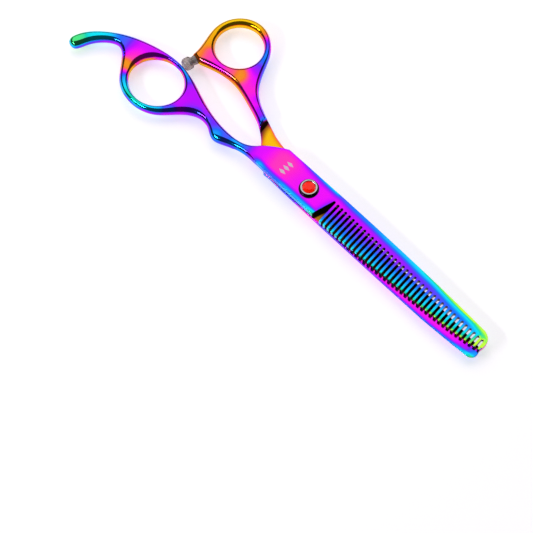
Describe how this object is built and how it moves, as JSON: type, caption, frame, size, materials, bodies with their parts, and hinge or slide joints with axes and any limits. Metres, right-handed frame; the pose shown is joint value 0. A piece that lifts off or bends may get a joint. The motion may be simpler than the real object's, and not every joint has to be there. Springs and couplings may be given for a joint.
{
  "type": "thinning shears",
  "caption": "Hair thinning shears: comb blade over a straight blade on a jewelled pivot screw, offset finger and thumb rings, a little-finger rest and a soft bumper.",
  "frame": {"origin": "on the pivot axis, in the back face of the tension nut, which is the plane the closed shears rest on", "axes": "+X along the blades towards the tips, +Y towards the thumb ring, +Z along the pivot axis towards the jewel"},
  "size_m": [0.2036, 0.0604, 0.0082],
  "materials": {
    "rainbow_steel": "mirror polished steel with a rainbow titanium film",
    "bezel_chrome": "polished",
    "nut_chrome": "polished, turned face",
    "red_stone": "faceted, clear red",
    "stone_foil": "mirror foil",
    "black_nylon": "matte",
    "white_nylon": "matte",
    "bronze": "turned",
    "spring_steel": "ground",
    "bumper_polymer": "smooth, slightly clear",
    "stud_steel": "threaded"
  },
  "bodies": {
    "comb_half": {"comb_blade": "rainbow_steel", "finger_handle": "rainbow_steel", "pivot_screw": "bezel_chrome", "jewel": "red_stone", "jewel_foil": "stone_foil", "head_washer": "black_nylon", "keyed_washer": "spring_steel", "spring_washer": "spring_steel"},
    "straight_half": {"straight_blade": "rainbow_steel", "thumb_handle": "rainbow_steel", "pivot_bushing": "bronze", "blade_washer": "white_nylon", "bumper_cap": "bumper_polymer", "bumper_stud": "stud_steel"},
    "tension_nut": {"tension_nut": "nut_chrome", "nut_lock_ring": "white_nylon"}
  },
  "joints": [
    {"name": "blade_pivot", "type": "hinge", "parent": "comb_half", "child": "straight_half", "pos_m": [0, 0, 0.0039], "axis": [0, 0, -1], "range_deg": [0, 110]},
    {"name": "nut_turn", "type": "hinge", "parent": "comb_half", "child": "tension_nut", "pos_m": [0, 0, 0.0006], "axis": [0, 0, 1], "range_deg": [-90, 90]}
  ]
}
